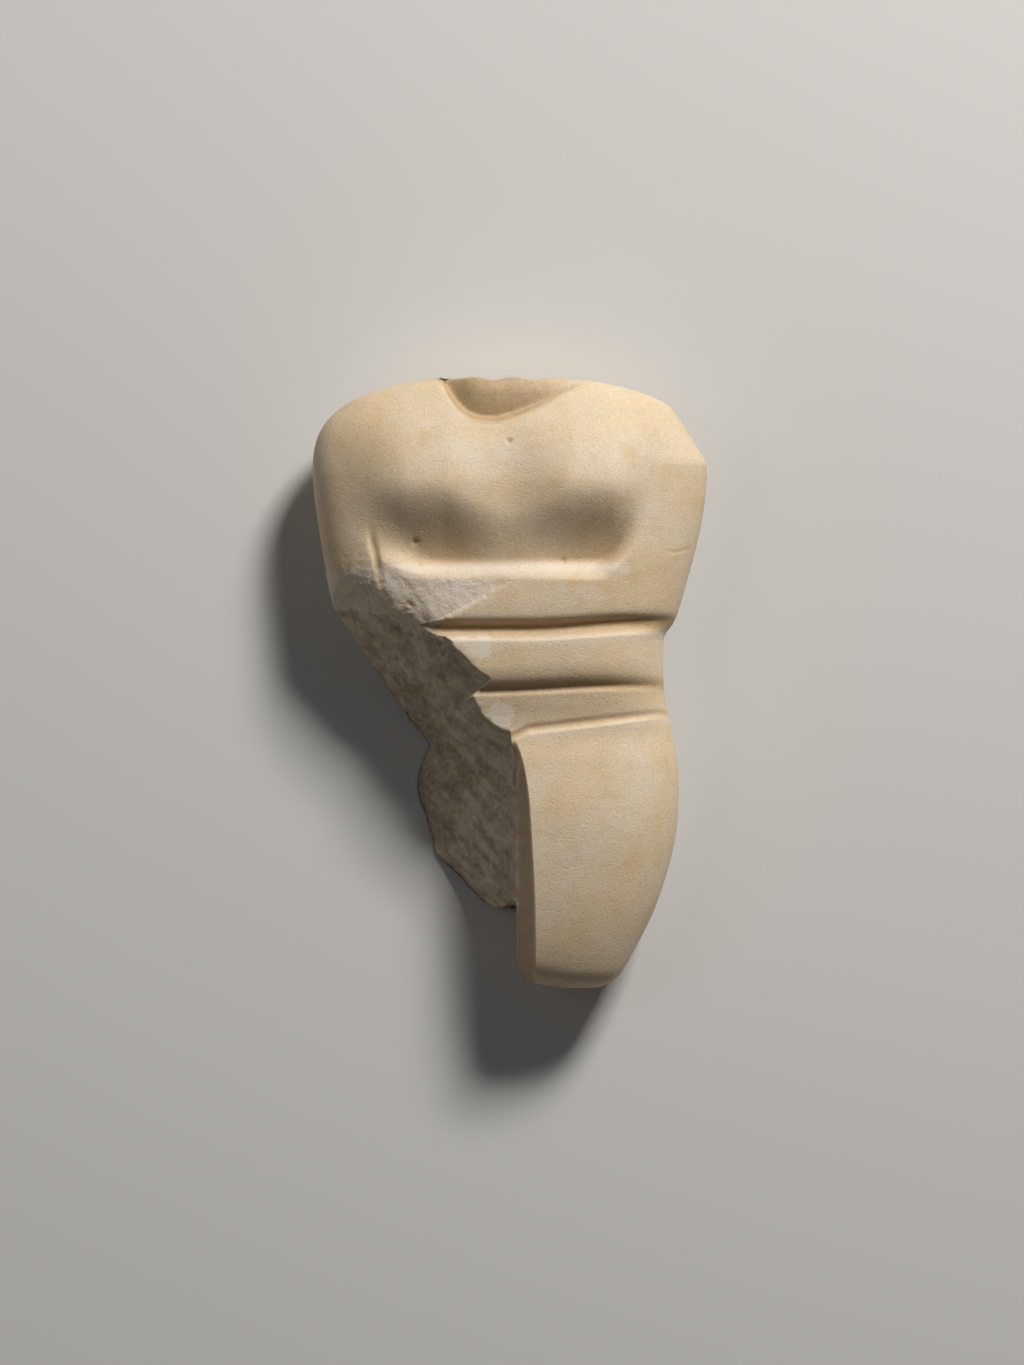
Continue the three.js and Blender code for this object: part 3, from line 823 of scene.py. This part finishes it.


# Brown dirt and painted shade on the stump of the neck, fading out towards its left.
neck_dirt_and_shade = NECK_DIRT_AND_SHADE["floor"] * step(above_neckline, *NECK_DIRT_AND_SHADE["edge"])
neck_dirt_and_shade = neck_dirt_and_shade * step(-x_of, *NECK_DIRT_AND_SHADE["right_of"])
neck_edge = band(*NECKLINE_GRIME["band"], above_neckline) * step(-x_of, *NECKLINE_GRIME["right_of"])
# Painted shade in the hollow of the chest, strongest beside the right arm.
shade_by_right_arm = CHEST_PAINTED_SHADE["right_arm"] * step(-x_of, *CHEST_PAINTED_SHADE["from"])
chest_painted_shade = (CHEST_PAINTED_SHADE["strength"] + shade_by_right_arm) * hollowed(x_of, y_of)
in_cleft = cleft(x_of, y_of, cleft_edge(y_of) - web_edge(y_of))
dirt_and_shade_bands = [
    # The forearms' grooves: brown dirt, and painted shade under their edges.
    band(*UPPER_DIRT_AND_SHADE, under_upper),
    band(*LOWER_DIRT_AND_SHADE, under_lower),
    band(*SEAM_GRIME, above_thighs),
    neck_dirt_and_shade,
    neck_edge,
    chest_painted_shade,
    CLEFT_GRIME["strength"] * step(in_cleft, *CLEFT_GRIME["edge"]),
]
inside_flanks = step(FLANK_CLEAN["x"] - np.abs(x_of), 0, FLANK_CLEAN["fade"])
# Brown dirt and painted shade together, kept off the flanks.
dirt_and_shade = np.maximum.reduce(dirt_and_shade_bands) * front_skin * inside_flanks
# Painted shade in the hollows of the skin, from how far each point lies below its surroundings.
hollow = hollowness(place, HOLLOW_PAINTED_SHADE["passes"])
hollow_painted_shade = skin * step(hollow, *HOLLOW_PAINTED_SHADE["depth"]) * HOLLOW_PAINTED_SHADE["strength"]
dirt_and_shade = np.maximum(dirt_and_shade, hollow_painted_shade)

# Paler, bruised or crumbly stone: along the ledge over the forearms, on the lips of the cuts, in a
# few spalls beside the break, and where the broken faces meet.
LEDGE = {"line": [(-28.0, 25.8), (0.0, 26.2), (26.0, 26.2)], "half_width": 2.2, "strength": 0.75}
UPPER_LIP = {"band": (0.5, 3.8, 1.4), "left_of": (-17, -13)}
THIGH_LIP_PALE = {"band": (0.35, -2.0, 1.3), "left_of": (2, 6)}
SPALLS = [(-6.6, 8.2, 2.6, 2.4), (-2.4, -8.0, 3.4, 3.2), (-11.0, 9.6, 2.6, 1.2)]  # x, y, half sizes
SPALL = {"reach": 1.15, "edge": (0.0, 0.25), "strength": 0.8}
RAGGED = {"strength": 0.55, "size": 2.2, "seed": 90}
CRUMBLED = [
    [(-21.8, 10.9), (-19.2, 12.0), (-17.0, 13.9)],
    [(-19.1, -14.6), (-16.6, -13.0), (-13.3, -12.1), (-8.7, -11.4), (-5.5, -10.2)],
    [(1.6, -18.0), (0.9, -23.0), (1.2, -29.0), (1.4, -37.5), (1.3, -45.0), (1.4, -52.0)],
]
CRUMBS = {"half_width": 1.5, "strength": 0.45, "varies": 0.9, "size": 1.4, "seed": 95}

ragged = RAGGED["strength"] * layered(place, RAGGED["size"], RAGGED["seed"], 3)
upper_lip = band(*UPPER_LIP["band"], under_upper) * step(x_of, *UPPER_LIP["left_of"])
thigh_lip = band(*THIGH_LIP_PALE["band"], above_thighs) * step(x_of, *THIGH_LIP_PALE["left_of"])
pales = [
    LEDGE["strength"] * near(LEDGE["line"], LEDGE["half_width"]) * skin,
    upper_lip * front_skin,
    thigh_lip * front_skin,
]
for spall_x, spall_y, spall_w, spall_h in SPALLS:
    spot = SPALL["reach"] - np.hypot((x_of - spall_x) / spall_w, (y_of - spall_y) / spall_h) + ragged
    pales.append(SPALL["strength"] * step(spot, *SPALL["edge"]) * front_skin)
crumbs = CRUMBS["strength"] + CRUMBS["varies"] * layered(place, CRUMBS["size"], CRUMBS["seed"], 2)
for line in CRUMBLED:
    pales.append(near(line, CRUMBS["half_width"]) * crumbs)
pale = np.clip(np.maximum.reduce(pales), 0, 1)

# How light the broken stone is: mottled, and in slanting streaks on the stump of the thigh. Above a line
# across the forearm it is painted lighter, as painted light where the broken face rounds up towards the
# lamp.
PAINTED_LIGHT_LINE = [(-42.0, 17.5), (-38.4, 17.1), (-29.7, 15.5), (-21.6, 10.9), (-17.0, 13.9), (0.0, 20.0)]
PAINTED_LIGHT = {"edge": (-0.6, 1.2), "raggedness": 3, "strength": 0.5}
STREAKS = {"size": (7.0, 1.7, 4.0), "seed": 80, "middle": 0.62, "strength": 0.75, "share": 0.75}
THIGH_STUMP = (12.5, 14.5)  # -y over which the streaks set in
SLANT = 1.414  # length of a step of 1 along both x and y
MOTTLING = {"size": (4.0, 4.0, 4.0), "seed": 85}

above_line = y_of - np.interp(x_of, *np.array(PAINTED_LIGHT_LINE).T)
# Painted light: the break is made lighter above the line.
painted_light_on_break = step(above_line + PAINTED_LIGHT["raggedness"] * ragged, *PAINTED_LIGHT["edge"])
slanted = np.stack([x_of - y_of, x_of + y_of], axis=-1) / SLANT
diagonal = np.concatenate([slanted, place[..., 2:]], axis=-1)
streaks = layered(diagonal, STREAKS["size"], STREAKS["seed"], 3)
on_thigh = step(-y_of, *THIGH_STUMP)
tone_and_painted_light = 0.5 + 0.5 * layered(place, MOTTLING["size"], MOTTLING["seed"], 3)
tone_and_painted_light = lerp(tone_and_painted_light, STREAKS["middle"] + STREAKS["strength"] * streaks, STREAKS["share"] * on_thigh)
tone_and_painted_light = np.clip(tone_and_painted_light + PAINTED_LIGHT["strength"] * painted_light_on_break * (1 - on_thigh), 0, 1)

# ---- The mesh in Blender ------------------------------------------------------------------------


def figure_mesh():
    mesh = bpy.data.meshes.new("figurine_marble")
    ends = np.array([place[0].mean(axis=0), place[-1].mean(axis=0)])
    vertices = np.concatenate([place.reshape(-1, 3), ends]) * MM
    ring = np.arange(columns)
    following = (ring + 1) % columns
    faces = []
    for row in range(rows - 1):
        low, high = row * columns, (row + 1) * columns
        faces.append(np.stack([low + ring, low + following, high + following, high + ring], axis=1))
    quads = np.concatenate(faces)
    first, last = rows * columns, rows * columns + 1
    top = (rows - 1) * columns
    fans = [(first, int(b), int(a)) for a, b in zip(ring, following)]
    fans += [(last, int(top + a), int(top + b)) for a, b in zip(ring, following)]
    mesh.from_pydata(vertices.tolist(), [], quads.tolist() + fans)
    mesh.update()
    return mesh


def give(mesh, name, values):
    """Stores one number a vertex, which the material reads by name."""
    full = np.concatenate([values.reshape(-1), [values[0].mean(), values[-1].mean()]])
    attribute = mesh.attributes.new(name, "FLOAT", "POINT")
    attribute.data.foreach_set("value", full.astype(np.float32))


mesh = figure_mesh()
give(mesh, "broken", broken)
give(mesh, "flake", flaked * broken * (1 - in_cap))
# The share of brown, for dirt and for painted shade.
give(mesh, "dirt_and_shade", np.clip(dirt_and_shade, 0, 1))
give(mesh, "pale", pale)
give(mesh, "tone_and_painted_light", tone_and_painted_light)
mesh.polygons.foreach_set("use_smooth", np.ones(len(mesh.polygons), bool))
figurine = bpy.data.objects.new("figurine_marble", mesh)
bpy.context.collection.objects.link(figurine)
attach(figurine, "root")
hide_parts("figurine")

# ---- Stone --------------------------------------------------------------------------------------

WHITE_STONE = (0.80, 0.70, 0.58)
PATINA = (0.71, 0.54, 0.345)
PATINA_PALE = (0.72, 0.595, 0.44)
PATINA_OCHRE = (0.65, 0.45, 0.24)
# The break's darkest colour is darker than the stone itself, as painted shade on broken faces that lie in
# shade.
BREAK_DARK_AND_SHADED = (0.44, 0.33, 0.235)
BREAK_PALE = (0.80, 0.66, 0.51)
FLAKE_STONE = (0.74, 0.62, 0.49)
# The brown of dirt, also used for painted shade.
DIRT_AND_SHADE_BROWN = (0.42, 0.26, 0.11)

# Patches in the stone. Each is noise with lumps of a size in mm. It becomes 0 at the low end of its
# range and 1 at the high end, or the two values in `to`.
PATCHES = {
    "blotches": {"size": 16, "range": (0.35, 0.65)},
    "stains": {"size": 5.5, "range": (0.52, 0.78), "to": (0, 0.7)},
    "freckles": {"size": 1.0, "detail": 4, "roughness": 0.7, "range": (0.56, 0.74), "to": (0, 0.6)},
    "scuffs": {
        "size": 0.7, "detail": 4, "roughness": 0.7, "squash": (0.35, 1, 1),
        "range": (0.58, 0.72), "to": (0, 0.5),
    },
    "mottling": {"size": 1.6, "detail": 4, "range": (0.3, 0.7), "to": (-0.22, 0.22)},
    "flake": {"size": 3.0, "detail": 4, "range": (0.35, 0.7)},
    "dirt_and_shade_patchiness": {"size": 2.2, "detail": 4, "range": (0.3, 0.7), "to": (0.65, 1.0)},
    "grain": {"size": 0.4, "roughness": 0.7, "range": (0.3, 0.7), "to": (0.84, 1.1)},
    "sheen": {"size": 1.1, "range": (0.3, 0.7), "to": (0.46, 0.62)},
    "scratches": {"size": 0.55, "roughness": 0.6, "squash": (0.14, 1, 1), "range": (0.26, 0.38)},
}  # fmt: skip
BREAK_TONE = (0.2, 0.85)  # the tones that are darkest and palest
BREAK_ROUGHNESS = 0.14  # how much rougher the break is than the skin

# Relief too fine for the mesh, with heights in mm.
SKIN_GRAIN = {"size": 0.45, "detail": 4, "roughness": 0.75, "height": 0.12}
SCRATCH_HEIGHT = 0.035
PITS = {"size": 1.6, "range": (0.0, 0.25), "height": 0.05}
BREAK_ROUGH = {"size": 0.9, "detail": 4, "height": 0.25}
CRYSTALS = {"size": 0.9, "height": 0.22}
FLAKE_SMOOTHED = 0.6  # share of the break's fine relief that the flake lacks

GLOW = {"weight": 0.12, "radius": (1.0, 0.7, 0.45), "scale": 1.2}  # light that spreads inside the stone
SPECULAR = 0.4


def marble_material():
    material = bpy.data.materials.new("weathered_marble")
    material.use_nodes = True
    tree = material.node_tree
    tree.nodes.clear()
    link = tree.links.new

    def node(kind, **settings):
        made = tree.nodes.new(kind)
        for name, value in settings.items():
            setattr(made, name, value)
        return made

    def attribute(name):
        return node("ShaderNodeAttribute", attribute_name=name).outputs["Fac"]

    coordinates = node("ShaderNodeTexCoord").outputs["Object"]

    def clouds(size, detail=3, roughness=0.55, squash=(1, 1, 1)):
        mapping = node("ShaderNodeMapping")
        link(coordinates, mapping.inputs["Vector"])
        mapping.inputs["Scale"].default_value = squash
        texture = node("ShaderNodeTexNoise")
        link(mapping.outputs["Vector"], texture.inputs["Vector"])
        texture.inputs["Scale"].default_value = 1 / (size * MM)
        texture.inputs["Detail"].default_value = detail
        texture.inputs["Roughness"].default_value = roughness
        return texture.outputs["Fac"]

    def between(value, low, high, out_low=0.0, out_high=1.0):
        ranged = node("ShaderNodeMapRange")
        link(value, ranged.inputs["Value"])
        ranged.inputs["From Min"].default_value = low
        ranged.inputs["From Max"].default_value = high
        ranged.inputs["To Min"].default_value = out_low
        ranged.inputs["To Max"].default_value = out_high
        return ranged.outputs["Result"]

    def patches(name):
        patch = dict(PATCHES[name])
        low_high, out = patch.pop("range"), patch.pop("to", (0, 1))
        return between(clouds(**patch), *low_high, *out)

    def cell_texture(size):
        texture = node("ShaderNodeTexVoronoi", feature="F1")
        link(coordinates, texture.inputs["Vector"])
        texture.inputs["Scale"].default_value = 1 / (size * MM)
        return texture

    def math_of(operation, a, b):
        made = node("ShaderNodeMath", operation=operation)
        for socket, value in zip(made.inputs, (a, b)):
            if isinstance(value, (int, float)):
                socket.default_value = value
            else:
                link(value, socket)
        return made.outputs["Value"]

    def mix(share, a, b, blend="MIX"):
        made = node("ShaderNodeMix", data_type="RGBA", blend_type=blend)
        for socket, value in zip((made.inputs[0], made.inputs[6], made.inputs[7]), (share, a, b)):
            if isinstance(value, tuple):
                socket.default_value = (*value, 1)
            elif isinstance(value, (int, float)):
                socket.default_value = value
            else:
                link(value, socket)
        return made.outputs[2]

    broken_here, flaked_here = attribute("broken"), attribute("flake")
    skin_colour = mix(patches("blotches"), PATINA, PATINA_PALE)
    skin_colour = mix(patches("stains"), skin_colour, PATINA_OCHRE)
    skin_colour = mix(patches("freckles"), skin_colour, PATINA_OCHRE)
    skin_colour = mix(patches("scuffs"), skin_colour, WHITE_STONE)
    # The break's tone carries its mottling, its streaks and painted light.
    mottled = math_of("ADD", attribute("tone_and_painted_light"), patches("mottling"))
    # The break runs from its darkest colour, partly painted shade, to its palest.
    break_colour = mix(between(mottled, *BREAK_TONE), BREAK_DARK_AND_SHADED, BREAK_PALE)
    flake_colour = mix(patches("flake"), FLAKE_STONE, WHITE_STONE)
    colour = mix(broken_here, skin_colour, break_colour)
    colour = mix(flaked_here, colour, flake_colour)
    # Brown dirt and painted shade, broken up in patches.
    colour = mix(math_of("MULTIPLY", attribute("dirt_and_shade"), patches("dirt_and_shade_patchiness")), colour, DIRT_AND_SHADE_BROWN)
    colour = mix(attribute("pale"), colour, WHITE_STONE)
    grain = patches("grain")
    grey = node("ShaderNodeCombineColor")
    for channel in ("Red", "Green", "Blue"):
        link(grain, grey.inputs[channel])
    colour = mix(1.0, colour, grey.outputs["Color"], "MULTIPLY")

    rougher = math_of("MULTIPLY", broken_here, BREAK_ROUGHNESS)
    roughness = math_of("ADD", patches("sheen"), rougher)
    skin_clouds = clouds(SKIN_GRAIN["size"], SKIN_GRAIN["detail"], SKIN_GRAIN["roughness"])
    skin_grain = math_of("MULTIPLY", skin_clouds, SKIN_GRAIN["height"])
    scratches = math_of("MULTIPLY", patches("scratches"), SCRATCH_HEIGHT)
    pits = between(cell_texture(PITS["size"]).outputs["Distance"], *PITS["range"])
    pits = math_of("MULTIPLY", pits, PITS["height"])
    rough = math_of("MULTIPLY", clouds(BREAK_ROUGH["size"], BREAK_ROUGH["detail"]), BREAK_ROUGH["height"])
    crystals = cell_texture(CRYSTALS["size"]).outputs["Color"]
    rough = math_of("ADD", rough, math_of("MULTIPLY", crystals, CRYSTALS["height"]))
    bare = math_of("SUBTRACT", broken_here, math_of("MULTIPLY", flaked_here, FLAKE_SMOOTHED))
    height = math_of("ADD", math_of("ADD", skin_grain, scratches), pits)
    height = math_of("ADD", height, math_of("MULTIPLY", rough, bare))
    relief = node("ShaderNodeBump")
    relief.inputs["Distance"].default_value = 1.0 * MM
    relief.inputs["Strength"].default_value = 1.0
    link(height, relief.inputs["Height"])

    shader = node("ShaderNodeBsdfPrincipled")
    link(colour, shader.inputs["Base Color"])
    link(roughness, shader.inputs["Roughness"])
    link(relief.outputs["Normal"], shader.inputs["Normal"])
    shader.inputs["Subsurface Weight"].default_value = GLOW["weight"]
    shader.inputs["Subsurface Radius"].default_value = GLOW["radius"]
    shader.inputs["Subsurface Scale"].default_value = GLOW["scale"] * MM
    shader.inputs["Specular IOR Level"].default_value = SPECULAR
    out = node("ShaderNodeOutputMaterial")
    link(shader.outputs["BSDF"], out.inputs["Surface"])
    return material


mesh.materials.append(marble_material())

# ---- Studio -------------------------------------------------------------------------------------


def plain_material(name, colour, roughness):
    material = bpy.data.materials.new(name)
    material.use_nodes = True
    shader = material.node_tree.nodes["Principled BSDF"]
    shader.inputs["Base Color"].default_value = (*colour, 1)
    shader.inputs["Roughness"].default_value = roughness
    return material


# Sizes and distances of the studio are in metres.
FLOOR = {"size": 6.0, "colour": (0.66, 0.65, 0.63), "roughness": 0.9}


def floor_object():
    half = FLOOR["size"] / 2
    made = bpy.data.meshes.new("floor")
    around = ((-half, -half), (half, -half), (half, half), (-half, half))
    made.from_pydata([(x, y, cad_low.z) for x, y in around], [], [(0, 1, 2, 3)])
    made.materials.append(plain_material("floor", FLOOR["colour"], FLOOR["roughness"]))
    floor = bpy.data.objects.new("floor", made)
    bpy.context.collection.objects.link(floor)
    return floor


floor_object()

# A strong light from the figure's upper left, and a weak one from its right.
KEY_LIGHT = {
    "direction": (0.38, 0.72, 0.57), "distance": 1.3, "size": 0.30,
    "watts": 18.8, "colour": (1.0, 0.985, 0.955),
}  # fmt: skip
FILL_LIGHT = {
    "direction": (-0.62, 0.15, 0.77), "distance": 1.6, "size": 0.7,
    "watts": 1.5, "colour": (1.0, 0.98, 0.95),
}  # fmt: skip
ALL_ROUND_LIGHT = 0.045


def area_light(name, direction, distance, size, watts, colour):
    """A square soft light that looks at the origin."""
    data = bpy.data.lights.new(name, "AREA")
    data.size = size
    data.energy = watts
    data.color = colour
    light = bpy.data.objects.new(name, data)
    towards = Vector(direction).normalized()
    light.location = towards * distance
    light.rotation_mode = "QUATERNION"
    light.rotation_quaternion = towards.to_track_quat("Z", "Y")
    bpy.context.collection.objects.link(light)


area_light("key", **KEY_LIGHT)
area_light("fill", **FILL_LIGHT)
world = bpy.data.worlds.new("studio")
world.use_nodes = True
world.node_tree.nodes["Background"].inputs["Color"].default_value = (1, 1, 1, 1)
world.node_tree.nodes["Background"].inputs["Strength"].default_value = ALL_ROUND_LIGHT
bpy.context.scene.world = world
bpy.context.scene.view_settings.view_transform = "Standard"

# The camera looks straight down. The picture takes in this much of the plane of the flanks, in mm.
PICTURE_HEIGHT = 313.8
PICTURE_MIDDLE = (0.46, 0.23)
LENS = 150.0
SENSOR = 36.0
camera_data = bpy.data.cameras.new("camera")
camera_data.lens = LENS
camera_data.sensor_width = SENSOR
camera = bpy.data.objects.new("camera", camera_data)
camera_height = FLANK_HEIGHT + PICTURE_HEIGHT * LENS / SENSOR
camera.location = Vector((*PICTURE_MIDDLE, camera_height)) * MM
bpy.context.collection.objects.link(camera)
bpy.context.scene.camera = camera
